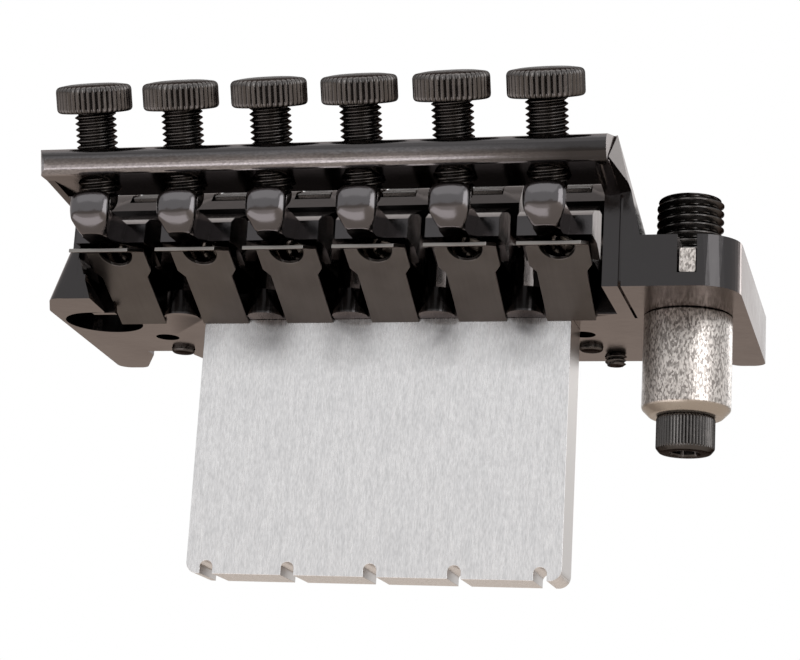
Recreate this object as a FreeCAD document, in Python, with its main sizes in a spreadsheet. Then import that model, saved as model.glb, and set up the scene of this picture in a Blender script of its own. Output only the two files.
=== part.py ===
import FreeCAD, Part
import Sketcher
import math
import os
import re

# Guitar tremolo bridge. Millimetres. The origin is midway between the two knife edges,
# X runs to the treble side, Y to the neck and Z up from the body of the guitar.

doc = FreeCAD.newDocument("bridge")
sheet = doc.addObject("Spreadsheet::Sheet", "sizes")

sizes = [
    # strings
    ("string_spacing", 10.8),
    ("string_offset", -4.0),
    # clearances
    ("slide_gap", 0.05),
    ("seat_gap", 0.1),
    ("joint_line", 0.02),
    ("cut_margin", 1.0),
    # base plate, seen from above
    ("lug_thickness", 6.0),
    ("floor_thickness", 3.0),
    ("front_y", 4.35),
    ("horn_y", 7.1),
    ("horn_in_x", 39.9),
    ("side_x", 43.8),
    ("notch_out_x", 36.4),
    ("notch_in_x", 30.7),
    ("notch_mouth_x", 29.6),
    ("knife_bevel", 35.0),
    ("lug_left_in_x", 34.9),
    ("lug_left_rear_y", 28.5),
    ("lug_left_corner_x", 39.3),
    ("lug_left_shoulder_x", 41.6),
    ("lug_left_shoulder_y", 23.0),
    ("lug_right_rear_y", 31.0),
    ("lug_right_round", 4.8),
    ("lug_round", 1.6),
    ("lug_left_draft", 18.0),
    ("tray_left_x", 36.0),
    ("tray_right_x", 28.6),
    ("tray_rear_y", 19.0),
    ("finger_radius", 2.2),
    ("arm_x", 36.7),
    ("arm_y", 17.0),
    ("arm_hole_radius", 4.85),
    ("slot_x", 38.1),
    ("slot_width", 2.2),
    ("slot_floor_z", -1.45),
    # cheeks and deck
    ("tilt", 24.0),
    ("deck_left_x", 36.9),
    ("deck_right_x", 30.2),
    ("deck_rear_y", 40.5),
    ("deck_low_z", 8.9),
    ("deck_brow_y", 41.2),
    ("deck_brow_z", 11.6),
    ("deck_front_y", 31.6),
    ("deck_top_y", 33.2),
    ("deck_top_z", 13.9),
    ("deck_round", 1.2),
    ("cheek_left_x", 36.9),
    ("cheek_left_thickness", 0.9),
    ("cheek_left_rear_y", 28.3),
    ("cheek_left_front_y", 21.95),
    ("cheek_right_thickness", 1.8),
    ("cheek_right_rear_y", 30.95),
    ("cheek_right_front_y", 20.0),
    ("cheek_break_z", 7.8),
    ("cheek_low_y", 39.4),
    ("cheek_low_z", 9.1),
    ("cheek_high_y", 34.4),
    ("cheek_high_z", 13.4),
    ("cheek_foot_z", -1.0),
    ("flank_x", 30.2),
    ("flank_thickness", 2.5),
    ("flank_lean", 12.0),
    ("seam_width", 0.35),
    ("seam_depth", 0.8),
    # sustain block
    ("block_width", 45.9),
    ("block_thickness", 6.3),
    ("block_height", 31.5),
    ("block_rear_y", 17.8),
    ("block_round", 1.4),
    ("spring_pitch", 10.2),
    ("spring_slot_radius", 0.8),
    ("spring_slot_rise", 0.8),
    ("block_screw_pitch", 15.0),
    ("block_screw_inset", 3.6),
    ("block_screw_radius", 1.8),
    ("block_screw_head_radius", 3.0),
    ("block_screw_head_height", 1.9),
    ("block_screw_length", 10.0),
    # leaf springs
    ("leaf_thickness", 0.4),
    ("leaf_fold_height", 0.45),
    ("leaf_root_y", 18.25),
    ("leaf_tab_height", 2.6),
    ("leaf_gap", 0.26),
    ("leaf_run", 11.15),
    ("leaf_lip_drop", 15.6),
    ("leaf_lip_run", 5.15),
    ("leaf_width", 7.4),
    ("leaf_neck_width", 5.9),
    ("leaf_neck_run", 7.2),
    ("leaf_shoulder_run", 1.0),
    ("leaf_hole_radius", 2.1),
    ("leaf_channel_gap", 0.3),
    # saddle bases
    ("saddle_width", 9.6),
    ("saddle_front_y", 0.3),
    ("saddle_step_y", 7.6),
    ("saddle_wall_y", 8.3),
    ("saddle_back_y", 15.0),
    ("saddle_rear_y", 18.0),
    ("saddle_foot_height", 2.6),
    ("saddle_wall_height", 6.8),
    ("saddle_rear_height", 4.5),
    ("saddle_floor", 0.75),
    ("channel_width", 7.2),
    ("channel_front_y", 7.9),
    ("pin_y", 11.3),
    ("pin_z", 4.5),
    ("pin_radius", 1.25),
    ("pin_inset", 0.1),
    ("intonation_y", 3.4),
    ("intonation_radius", 1.5),
    ("intonation_head_radius", 2.3),
    ("intonation_head_height", 2.2),
    ("intonation_slot", 1.4),
    ("intonation_poke", 0.6),
    ("spare_hole_y", 9.4),
    # string holders
    ("holder_width", 6.9),
    ("holder_front_y", 8.2),
    ("holder_low_z", 1.3),
    ("holder_chin_z", 2.6),
    ("holder_chin_y", 9.0),
    ("holder_brow_z", 10.6),
    ("crown_front_y", 8.7),
    ("crown_front_z", 11.7),
    ("crown_y", 9.6),
    ("crown_back_y", 10.6),
    ("crown_z", 12.2),
    ("ridge_y", 17.4),
    ("ridge_z", 13.8),
    ("nape_y", 19.6),
    ("nape_z", 12.8),
    ("head_width", 9.2),
    ("head_rear_y", 21.5),
    ("head_rear_z", 10.2),
    ("head_low_z", 7.3),
    ("back_y", 20.6),
    ("back_z", 9.9),
    ("waist_y", 26.4),
    ("waist_z", 7.4),
    ("belly_front_y", 14.5),
    ("belly_y", 18.0),
    ("belly_z", 1.9),
    ("groin_y", 25.0),
    ("groin_z", 1.9),
    ("groove_radius", 0.6),
    ("groove_depth", 0.35),
    ("tail_width", 8.7),
    ("tail_step_y", 30.0),
    ("tail_step_z", 6.3),
    ("tail_rear_y", 31.2),
    ("tail_low_z", 3.1),
    ("tail_low_y", 27.6),
    ("finger_width", 4.0),
    ("finger_root_y", 30.4),
    ("finger_root_z", 3.2),
    ("seat_z", 5.4),
    ("seat_rear_y", 37.3),
    ("nose_y", 39.0),
    ("nose_top_y", 37.7),
    ("nose_z", 6.7),
    ("nose_low_z", 4.1),
    ("nose_chin_y", 36.8),
    ("nose_chin_z", 2.4),
    ("nose_throat_y", 33.0),
    ("nose_round", 1.2),
    # string clamps
    ("clamp_y", 16.0),
    ("clamp_z", 7.9),
    ("clamp_width", 4.4),
    ("clamp_thickness", 3.6),
    ("clamp_below", 2.3),
    ("clamp_above", 5.8),
    ("pocket_travel", 0.8),
    ("lock_radius", 2.0),
    ("lock_length", 7.6),
    ("lock_socket_radius", 1.15),
    ("lock_socket_depth", 2.2),
    # fine tuners
    ("tuner_y", 37.64),
    ("tuner_z", 13.46),
    ("tuner_radius", 2.48),
    ("tuner_tip_radius", 2.0),
    ("tuner_tip_mid", 1.2),
    ("tuner_tip_rise", 0.4),
    ("tuner_taper_height", 3.2),
    ("tuner_lift", 3.6),
    ("tuner_head_radius", 4.7),
    ("tuner_head_height", 3.4),
    ("tuner_head_edge", 0.5),
    ("tuner_crown_rise", 0.35),
    # arm socket
    ("bush_radius", 5.2),
    ("bush_length", 12.05),
    ("bush_edge", 0.7),
    ("bush_spigot_radius", 4.8),
    ("bush_floor", 4.0),
    ("key_rear_y", 30.4),
    ("key_front_y", 21.0),
    ("key_top_z", 1.6),
    ("collar_radius", 3.97),
    ("collar_bore_radius", 3.05),
    ("collar_rise", 8.3),
    ("collar_edge", 0.5),
    ("cap_head_radius", 3.45),
    ("cap_head_height", 4.2),
    ("cap_head_edge", 0.4),
    ("cap_radius", 1.95),
    ("cap_length", 3.9),
    ("cap_socket_radius", 1.73),
    ("cap_socket_depth", 2.2),
    # screws in the front edge
    ("rest_x", 25.3),
    ("rest_y", 1.9),
    ("rest_radius", 1.35),
    ("rest_poke", 1.2),
]
names = set()
for row, (alias, value) in enumerate(sizes, 1):
    sheet.set("A%d" % row, alias)
    sheet.set("B%d" % row, str(value))
    sheet.setAlias("B%d" % row, alias)
    names.add(alias)
doc.recompute()

strings = 6
springHooks = 5
blockScrews = 3
tiny = 1e-6
parts = []
plusX = FreeCAD.Vector(1, 0, 0)
minusX = FreeCAD.Vector(-1, 0, 0)
minusY = FreeCAD.Vector(0, -1, 0)


def words(text):
    # names of sizes become references to the sheet
    def full(match):
        word = match.group(0)
        return "sizes." + word if word in names else word

    return re.sub(r"[a-z][a-z_]*", full, text)


def bind(thing, prop, text):
    thing.setExpression(prop, words(text))


def place(thing, x="0", y="0", z="0", axis=None, angle=None):
    if axis is not None:
        thing.Placement = FreeCAD.Placement(FreeCAD.Vector(), FreeCAD.Rotation(axis, 30))
        bind(thing, "Placement.Rotation.Angle", angle)
    for letter, text in zip("xyz", (x, y, z)):
        bind(thing, "Placement.Base." + letter, text)
    return thing


def box(name, length, width, height, x="0", y="0", z="0"):
    thing = doc.addObject("Part::Box", name)
    bind(thing, "Length", length)
    bind(thing, "Width", width)
    bind(thing, "Height", height)
    return place(thing, x, y, z)


def turnedBox(name, length, width, height, spot, low, axis, angle):
    # a box whose corner sits at low in a frame turned about spot
    inner = box(name + "_block", length, width, height, *low)
    holder = doc.addObject("Part::Compound", name)
    holder.Links = [inner]
    return place(holder, *spot, axis=axis, angle=angle)


def cylinder(name, radius, height, x="0", y="0", z="0", axis=None, angle=None):
    thing = doc.addObject("Part::Cylinder", name)
    bind(thing, "Radius", radius)
    bind(thing, "Height", height)
    return place(thing, x, y, z, axis, angle)


def fuse(name, things):
    thing = doc.addObject("Part::MultiFuse", name)
    thing.Shapes = things
    thing.Refine = True
    return thing


def cut(name, base, tools):
    thing = doc.addObject("Part::Cut", name)
    thing.Base = base
    thing.Tool = tools[0] if len(tools) == 1 else fuse(name + "_tools", tools)
    thing.Refine = True
    return thing


def group(name, things):
    thing = doc.addObject("Part::Compound", name)
    thing.Links = things
    return thing


def outline(body, name, role, points):
    # closed polygon, each corner held by its two distances from the origin
    sketch = body.newObject("Sketcher::SketchObject", name)
    plane = [face for face in body.Origin.OriginFeatures if face.Role == role][0]
    sketch.AttachmentSupport = [(plane, "")]
    sketch.MapMode = "FlatFace"
    count = len(points)
    turn = 2 * math.pi / count
    ring = [FreeCAD.Vector(math.cos(k * turn), math.sin(k * turn), 0) for k in range(count)]
    for k in range(count):
        sketch.addGeometry(Part.LineSegment(ring[k], ring[(k + 1) % count]), False)
    for k in range(count):
        sketch.addConstraint(Sketcher.Constraint("Coincident", k, 2, (k + 1) % count, 1))
    for k in range(count):
        across = sketch.addConstraint(Sketcher.Constraint("DistanceX", -1, 1, k, 1, ring[k].x))
        bind(sketch, "Constraints[%d]" % across, points[k][0])
        along = sketch.addConstraint(Sketcher.Constraint("DistanceY", -1, 1, k, 1, ring[k].y))
        bind(sketch, "Constraints[%d]" % along, points[k][1])
    return sketch


def slab(name, role, points, length, middle=True):
    # polygon padded to a length, about its plane or from it
    body = doc.addObject("PartDesign::Body", name)
    sketch = outline(body, name + "_outline", role, points)
    pad = body.newObject("PartDesign::Pad", name + "_pad")
    pad.Profile = sketch
    bind(pad, "Length", length)
    if middle:
        pad.SideType = "Symmetric"
    body.Tip = pad
    return body


def turned(name, points):
    # polygon of radius and height, turned about Z
    body = doc.addObject("PartDesign::Body", name)
    sketch = outline(body, name + "_outline", "XZ_Plane", points)
    spin = body.newObject("PartDesign::Revolution", name + "_spin")
    spin.Profile = sketch
    spin.ReferenceAxis = (sketch, ["V_Axis"])
    spin.Angle = 360
    body.Tip = spin
    return body


def rounded(body, radius, wanted):
    # fillet on the edges whose two ends pass a test
    doc.recompute()
    base = body.Tip
    found = []
    for number, edge in enumerate(base.Shape.Edges, 1):
        ends = [vertex.Point for vertex in edge.Vertexes]
        if len(ends) == 2 and wanted(ends[0], ends[1]):
            found.append("Edge%d" % number)
    fillet = body.newObject("PartDesign::Fillet", body.Name + "_round")
    fillet.Base = (base, found)
    bind(fillet, "Radius", radius)
    body.Tip = fillet


def keep(name, thing):
    thing.Label = name
    parts.append((name, thing))


def stringX(number):
    return "string_offset + (%d - 2.5) * string_spacing" % number


under = "-lug_thickness / 2"
lugTop = "lug_thickness / 2"
floorTop = "floor_thickness - lug_thickness / 2"

# base plate: plan of the casting, padded about the level of the knife edges
plate = slab("plate", "XY_Plane", [
    ("-lug_left_in_x", "-tray_rear_y"),
    ("-lug_left_in_x", "-lug_left_rear_y"),
    ("-lug_left_corner_x", "-lug_left_rear_y"),
    ("-lug_left_shoulder_x", "-lug_left_shoulder_y"),
    ("-side_x", "horn_y"),
    ("-horn_in_x", "horn_y"),
    ("-notch_out_x", "0"),
    ("-notch_in_x", "0"),
    ("-notch_mouth_x", "front_y"),
    ("notch_mouth_x", "front_y"),
    ("notch_in_x", "0"),
    ("notch_out_x", "0"),
    ("horn_in_x", "horn_y"),
    ("side_x", "horn_y"),
    ("side_x", "-lug_right_rear_y"),
    ("tray_right_x", "-lug_right_rear_y"),
    ("tray_right_x", "-tray_rear_y"),
], "lug_thickness")


def leanIn(body, angle, wanted):
    # draft on the side faces whose middle passes a test, from the underside up
    doc.recompute()
    base = body.Tip
    sides = []
    floor = []
    for number, face in enumerate(base.Shape.Faces, 1):
        middle = face.CenterOfMass
        flat = abs(face.normalAt(0, 0).z)
        if flat < tiny and wanted(middle):
            sides.append("Face%d" % number)
        elif flat > 1 - tiny and middle.z < 0:
            floor.append("Face%d" % number)
    draft = body.newObject("PartDesign::Draft", body.Name + "_draft")
    draft.Base = (base, sides)
    draft.NeutralPlane = (base, floor)
    bind(draft, "Angle", angle)
    body.Tip = draft


def outerLeft(middle):
    return middle.x < -sheet.lug_left_corner_x - tiny and middle.y < -sheet.lug_left_shoulder_y


leanIn(plate, "lug_left_draft", outerLeft)


def bigCorner(a, b):
    upright = abs(a.z - b.z) > sheet.lug_thickness - tiny
    return upright and a.x > sheet.side_x - tiny and a.y < 0


def outerCorner(a, b):
    upright = abs(a.z - b.z) > sheet.lug_thickness - tiny
    foot = a if a.z < b.z else b
    outside = abs(foot.x) > sheet.horn_in_x - sheet.cut_margin and foot.y != 0
    return upright and outside and not bigCorner(a, b)


rounded(plate, "lug_round", outerCorner)
rounded(plate, "lug_right_round", bigCorner)

fingers = []
for number in range(strings - 1):
    fingers.append(cylinder("finger_%d" % number, "finger_radius", "floor_thickness",
                            stringX(number) + " + string_spacing / 2", "-tray_rear_y", under))


def cheekOutline(rear, front, drop):
    return [
        ("-%s" % rear, "cheek_foot_z - %s" % drop),
        ("-%s" % rear, "cheek_break_z - %s" % drop),
        ("-cheek_low_y", "cheek_low_z - %s" % drop),
        ("-cheek_high_y", "cheek_high_z - %s" % drop),
        ("-%s" % front, "lug_thickness / 2 - %s" % drop),
        ("-%s" % front, "cheek_foot_z - %s" % drop),
    ]


cheekLeft = slab("cheek_left", "YZ_Plane", cheekOutline("cheek_left_rear_y", "cheek_left_front_y", "0"),
                 "cheek_left_thickness", False)
place(cheekLeft, "-cheek_left_x")
cheekRight = slab("cheek_right", "YZ_Plane", cheekOutline("cheek_right_rear_y", "cheek_right_front_y", "0"),
                  "cheek_right_thickness", False)
place(cheekRight, "tray_right_x")
flank = slab("flank", "YZ_Plane", cheekOutline("cheek_right_rear_y", "cheek_right_front_y", lugTop),
             "flank_thickness", False)
place(flank, "flank_x", "0", lugTop, minusY, "flank_lean")

# deck that carries the fine tuners: level below, rising towards the neck above
deck = slab("deck", "YZ_Plane", [
    ("-deck_rear_y", "deck_low_z"),
    ("-deck_front_y", "deck_low_z"),
    ("-deck_top_y", "deck_top_z"),
    ("-deck_brow_y", "deck_brow_z"),
], "deck_left_x + deck_right_x", False)


def deckEdge(a, b):
    behind = -sheet.deck_top_y - sheet.cut_margin
    return a.y < behind and b.y < behind and min(a.x, b.x) < tiny


rounded(deck, "deck_round", deckEdge)
place(deck, "-deck_left_x")

holes = []
holes.append(box("tray", "tray_left_x + tray_right_x", "lug_right_rear_y + horn_y + cut_margin",
                 "lug_thickness", "-tray_left_x", "-lug_right_rear_y - cut_margin", floorTop))
for side in ("-", ""):
    holes.append(cylinder("arm_hole" + side, "arm_hole_radius", "lug_thickness + 2 * cut_margin",
                          side + "arm_x", "-arm_y", under + " - cut_margin"))
holes.append(box("slot", "slot_width", "lug_right_rear_y + cut_margin - arm_y", "lug_thickness",
                 "slot_x - slot_width / 2", "-lug_right_rear_y - cut_margin", "slot_floor_z"))
for side in ("-", ""):
    near = "-notch_out_x" if side else "notch_in_x"
    holes.append(turnedBox("bevel_low" + side, "notch_out_x - notch_in_x", "horn_y", "lug_thickness",
                           (near, "0", "0"), ("0", "0", "-lug_thickness"), minusX, "knife_bevel"))
holes.append(turnedBox("bevel_high", "notch_out_x - notch_in_x", "horn_y", "lug_thickness",
                       ("notch_in_x", "0", "0"), ("0", "0", "0"), plusX, "knife_bevel"))
holes.append(box("seam_rear", "seam_width", "seam_depth + cut_margin", "cheek_break_z + lug_thickness / 2",
                 "tray_right_x + cheek_right_thickness", "-lug_right_rear_y - cut_margin", under))
holes.append(box("seam_under", "seam_width", "lug_right_rear_y - arm_y", "seam_depth + cut_margin",
                 "tray_right_x + cheek_right_thickness", "-lug_right_rear_y", under + " - cut_margin"))
reach = "((tuner_z - deck_low_z) / cos(tilt) + tuner_radius * tan(tilt) + cut_margin)"
leafRise = "atan((tail_low_z + lug_thickness / 2 - leaf_gap + slide_gap) / leaf_run)"
for number in range(strings):
    x = stringX(number)
    holes.append(cylinder("tuner_hole_%d" % number, "tuner_radius + slide_gap", reach + " + cut_margin",
                          x, "-tuner_y + %s * sin(tilt)" % reach, "tuner_z - %s * cos(tilt)" % reach,
                          plusX, "tilt"))
    holes.append(cylinder("intonation_hole_%d" % number, "intonation_radius + slide_gap",
                          "floor_thickness + 2 * cut_margin", x, "-intonation_y", under + " - cut_margin"))
    holes.append(cylinder("spare_hole_%d" % number, "intonation_radius", "floor_thickness + 2 * cut_margin",
                          x, "-spare_hole_y", under + " - cut_margin"))
    holes.append(box("leaf_slit_%d" % number, "leaf_neck_width + 2 * slide_gap",
                     "leaf_thickness + 2 * slide_gap", "floor_thickness + 2 * cut_margin",
                     x + " - leaf_neck_width / 2 - slide_gap",
                     "-leaf_root_y - slide_gap", under + " - cut_margin"))
    holes.append(turnedBox("leaf_channel_%d" % number, "leaf_neck_width + 2 * leaf_channel_gap",
                           "tray_rear_y", "lug_thickness",
                           (x, "-leaf_root_y", under),
                           ("-leaf_neck_width / 2 - leaf_channel_gap", "-tray_rear_y", "-lug_thickness"),
                           minusX, leafRise))
screwY = "block_screw_inset - block_rear_y"
for number in range(blockScrews):
    x = "(%d - 1) * block_screw_pitch" % number
    holes.append(cylinder("block_screw_hole_%d" % number, "block_screw_radius + slide_gap",
                          "floor_thickness + 2 * cut_margin", x, screwY, under + " - cut_margin"))
    sink = doc.addObject("Part::Cone", "block_screw_sink_%d" % number)
    bind(sink, "Radius1", "block_screw_radius + slide_gap")
    bind(sink, "Radius2", "block_screw_head_radius + slide_gap")
    bind(sink, "Height", "block_screw_head_height")
    place(sink, x, screwY, floorTop + " - block_screw_head_height")
    holes.append(sink)
for side in ("-", ""):
    holes.append(cylinder("rest_hole" + side, "rest_radius + slide_gap", "floor_thickness + 2 * cut_margin",
                          side + "rest_x", "rest_y", under + " - cut_margin"))
casting = fuse("casting", [plate] + fingers + [cheekLeft, cheekRight, flank, deck])
keep("base_plate", cut("base_plate", casting, holes))

# sustain block
blockTop = under + " - joint_line"
block = slab("block", "XZ_Plane", [
    ("-block_width / 2", blockTop + " - block_height"),
    ("block_width / 2", blockTop + " - block_height"),
    ("block_width / 2", blockTop),
    ("-block_width / 2", blockTop),
], "block_thickness")


def blockCorner(a, b):
    return abs(a.y - b.y) > sheet.cut_margin and a.z < -sheet.block_height / 2


rounded(block, "block_round", blockCorner)
place(block, "0", "block_thickness / 2 - block_rear_y")
cuts = []
for number in range(springHooks):
    x = "(%d - 2) * spring_pitch" % number
    rise = blockTop + " - block_height + spring_slot_rise"
    cuts.append(cylinder("hook_%d" % number, "spring_slot_radius", "block_thickness + 2 * cut_margin",
                         x, "-block_rear_y - cut_margin", rise, minusX, "90"))
    cuts.append(box("hook_slot_%d" % number, "2 * spring_slot_radius", "block_thickness + 2 * cut_margin",
                    "spring_slot_rise + cut_margin", x + " - spring_slot_radius", "-block_rear_y - cut_margin",
                    rise + " - spring_slot_rise - cut_margin"))
for number in range(blockScrews):
    cuts.append(cylinder("block_thread_%d" % number, "block_screw_radius + slide_gap",
                         "block_screw_length + cut_margin", "(%d - 1) * block_screw_pitch" % number,
                         screwY, blockTop + " - block_screw_length"))
keep("sustain_block", cut("sustain_block", block, cuts))

screws = []
for number in range(blockScrews):
    x = "(%d - 1) * block_screw_pitch" % number
    neck = floorTop + " - block_screw_head_height"
    stem = cylinder("block_stem_%d" % number, "block_screw_radius", "block_screw_length",
                    x, screwY, neck + " - block_screw_length")
    head = doc.addObject("Part::Cone", "block_head_%d" % number)
    bind(head, "Radius1", "block_screw_radius")
    bind(head, "Radius2", "block_screw_head_radius")
    bind(head, "Height", "block_screw_head_height")
    place(head, x, screwY, neck)
    screws.append(fuse("block_screw_%d" % number, [stem, head]))
keep("block_screws", group("block_screws", screws))

stubs = []
for side in ("-", ""):
    stubs.append(cylinder("rest_screw" + side, "rest_radius", "floor_thickness + rest_poke - seat_gap",
                          side + "rest_x", "rest_y", under + " - rest_poke"))
keep("rest_screws", group("rest_screws", stubs))

screws = []
for number in range(strings):
    stem = cylinder("intonation_stem_%d" % number, "intonation_radius",
                    "saddle_foot_height + floor_thickness + intonation_poke", stringX(number), "-intonation_y",
                    under + " - intonation_poke")
    head = cylinder("intonation_head_%d" % number, "intonation_head_radius", "intonation_head_height",
                    stringX(number), "-intonation_y", floorTop + " + saddle_foot_height + slide_gap")
    screws.append(fuse("intonation_screw_%d" % number, [stem, head]))
keep("intonation_screws", group("intonation_screws", screws))

# pieces that repeat for each string
for number in range(strings):
    tag = "_%d" % (number + 1)
    x = stringX(number)
    foot = floorTop + " + slide_gap"

    # leaf spring: tab in the slit, slope up to the crest, lip down behind it
    crestY = "-leaf_run"
    crestZ = "tail_low_z + lug_thickness / 2 - leaf_gap"
    lipY = "-leaf_run - leaf_lip_run"
    lipZ = crestZ + " - leaf_lip_run * tan(leaf_lip_drop)"
    strip = slab("leaf" + tag, "YZ_Plane", [
        ("leaf_thickness", "leaf_tab_height"),
        ("0", "leaf_tab_height"),
        ("0", "-slide_gap"),
        (crestY, crestZ),
        (lipY, lipZ),
        (lipY, lipZ + " - leaf_fold_height"),
        (crestY, crestZ + " - leaf_fold_height"),
        ("leaf_thickness", "-slide_gap - leaf_fold_height"),
    ], "leaf_width")
    place(strip, x, "-leaf_root_y", under)
    shoulderY = "-leaf_neck_run - leaf_shoulder_run"
    blank = slab("leaf_blank" + tag, "XY_Plane", [
        ("-leaf_neck_width / 2", "leaf_thickness"),
        ("-leaf_neck_width / 2", "-leaf_neck_run"),
        ("-leaf_width / 2", shoulderY),
        ("-leaf_width / 2", lipY),
        ("leaf_width / 2", lipY),
        ("leaf_width / 2", shoulderY),
        ("leaf_neck_width / 2", "-leaf_neck_run"),
        ("leaf_neck_width / 2", "leaf_thickness"),
    ], "2 * (lug_thickness + leaf_tab_height)")
    place(blank, x, "-leaf_root_y", under)
    bent = doc.addObject("Part::Common", "leaf_bent" + tag)
    bent.Base = strip
    bent.Tool = blank
    hole = cylinder("leaf_hole" + tag, "leaf_hole_radius", "lug_thickness + 2 * leaf_tab_height",
                    x, "-leaf_root_y - leaf_run", under)
    keep("leaf_spring" + tag, cut("leaf_spring" + tag, bent, [hole]))

    # saddle base: foot under the intonation screw, two walls for the pin
    seat = slab("seat" + tag, "YZ_Plane", [
        ("-saddle_rear_y", foot),
        ("-saddle_front_y", foot),
        ("-saddle_front_y", floorTop + " + saddle_foot_height"),
        ("-saddle_step_y", floorTop + " + saddle_foot_height"),
        ("-saddle_wall_y", "saddle_wall_height"),
        ("-saddle_back_y", "saddle_wall_height"),
        ("-saddle_rear_y", "saddle_rear_height"),
    ], "saddle_width")
    place(seat, x)
    cuts = [
        box("channel" + tag, "channel_width", "saddle_rear_y", "saddle_wall_height", x + " - channel_width / 2",
            "-channel_front_y - saddle_rear_y", "saddle_floor"),
        cylinder("seat_pin_hole" + tag, "pin_radius + joint_line", "saddle_width + 2 * cut_margin",
                 x + " - saddle_width / 2 - cut_margin", "-pin_y", "pin_z", FreeCAD.Vector(0, 1, 0), "90"),
        box("slot" + tag, "2 * (intonation_radius + seat_gap)", "2 * intonation_slot", "saddle_wall_height",
            x + " - intonation_radius - seat_gap", "-intonation_y - intonation_slot", under),
    ]
    for side in ("-", "+"):
        cuts.append(cylinder("slot_end" + tag + side, "intonation_radius + seat_gap", "saddle_wall_height",
                             x, "-intonation_y %s intonation_slot" % side, under))
    keep("saddle_base" + tag, cut("saddle_base" + tag, seat, cuts))

    keep("pivot_pin" + tag, cylinder("pivot_pin" + tag, "pin_radius", "saddle_width - 2 * pin_inset",
                                     x + " - saddle_width / 2 + pin_inset", "-pin_y", "pin_z",
                                     FreeCAD.Vector(0, 1, 0), "90"))

    # string holder: web between the walls, head over them with the string's crown and the clamp,
    # wide tail on the leaf, finger under the fine tuner
    head = slab("head" + tag, "YZ_Plane", [
        ("-holder_front_y", "head_low_z"),
        ("-holder_front_y", "holder_brow_z"),
        ("-crown_front_y", "crown_front_z"),
        ("-crown_y", "crown_z"),
        ("-crown_back_y", "crown_z"),
        ("-ridge_y", "ridge_z"),
        ("-nape_y", "nape_z"),
        ("-head_rear_y", "head_rear_z"),
        ("-head_rear_y", "head_low_z"),
    ], "head_width")
    place(head, x)
    web = slab("web" + tag, "YZ_Plane", [
        ("-holder_front_y", "holder_chin_z"),
        ("-holder_front_y", "holder_brow_z"),
        ("-back_y", "back_z"),
        ("-waist_y", "waist_z"),
        ("-waist_y", "groin_z"),
        ("-groin_y", "groin_z"),
        ("-belly_y", "belly_z"),
        ("-belly_front_y", "holder_low_z"),
        ("-holder_chin_y", "holder_low_z"),
    ], "holder_width")
    place(web, x)
    tail = slab("tail" + tag, "YZ_Plane", [
        ("-groin_y", "groin_z"),
        ("-groin_y", "waist_z"),
        ("-waist_y", "waist_z"),
        ("-tail_step_y", "tail_step_z"),
        ("-tail_rear_y", "seat_z"),
        ("-tail_rear_y", "tail_low_z"),
        ("-tail_low_y", "tail_low_z"),
    ], "tail_width")
    place(tail, x)
    finger = slab("lever" + tag, "YZ_Plane", [
        ("-finger_root_y", "seat_z"),
        ("-seat_rear_y", "seat_z"),
        ("-nose_top_y", "nose_z"),
        ("-nose_y", "nose_z"),
        ("-nose_y", "nose_low_z"),
        ("-nose_chin_y", "nose_chin_z"),
        ("-nose_throat_y", "nose_chin_z"),
        ("-finger_root_y", "finger_root_z"),
    ], "finger_width")

    def noseEdge(a, b):
        rear = sheet.joint_line - sheet.nose_y
        return a.y < rear and b.y < rear

    rounded(finger, "nose_round", noseEdge)
    place(finger, x)
    lockSlope = "(clamp_thickness / 2 + lock_length + 2 * tail_width)"
    cuts = [
        cylinder("holder_pin_hole" + tag, "pin_radius + slide_gap", "holder_width + 2 * cut_margin",
                 x + " - holder_width / 2 - cut_margin", "-pin_y", "pin_z", FreeCAD.Vector(0, 1, 0), "90"),
        cylinder("groove" + tag, "groove_radius", "clamp_y", x, "-clamp_y",
                 "crown_z + groove_radius - groove_depth", minusX, "90"),
        box("groove_mouth" + tag, "2 * groove_radius", "clamp_y", "crown_z", x + " - groove_radius",
            "-clamp_y", "crown_z + groove_radius - groove_depth"),
        turnedBox("pocket" + tag, "clamp_width + 2 * seat_gap", "clamp_thickness + 2 * pocket_travel",
                  "clamp_below + seat_gap + crown_z", (x, "-clamp_y", "clamp_z"),
                  ("-clamp_width / 2 - seat_gap", "-clamp_thickness / 2 - pocket_travel",
                   "-clamp_below - seat_gap"), plusX, "tilt"),
        cylinder("lock_bore" + tag, "lock_radius + slide_gap", lockSlope, x,
                 "-clamp_y - %s * cos(tilt)" % lockSlope, "clamp_z - %s * sin(tilt)" % lockSlope,
                 minusX, "90 - tilt"),
    ]
    holder = fuse("holder" + tag, [head, web, tail, finger])
    keep("string_holder" + tag, cut("string_holder" + tag, holder, cuts))

    clampLow = ("-clamp_width / 2", "-clamp_thickness / 2", "-clamp_below")
    keep("clamp_block" + tag, turnedBox("clamp_block" + tag, "clamp_width", "clamp_thickness",
                                        "clamp_below + clamp_above", (x, "-clamp_y", "clamp_z"), clampLow,
                                        plusX, "tilt"))

    reach = "(clamp_thickness / 2 + lock_length)"
    faceY = "-clamp_y - %s * cos(tilt)" % reach
    faceZ = "clamp_z - %s * sin(tilt)" % reach
    rod = cylinder("lock_rod" + tag, "lock_radius", "lock_length - joint_line", x, faceY, faceZ,
                   minusX, "90 - tilt")
    socket = doc.addObject("Part::Prism", "lock_socket" + tag)
    bind(socket, "Circumradius", "lock_socket_radius")
    bind(socket, "Height", "lock_socket_depth")
    place(socket, x, faceY, faceZ, minusX, "90 - tilt")
    keep("lock_screw" + tag, cut("lock_screw" + tag, rod, [socket]))

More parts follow.
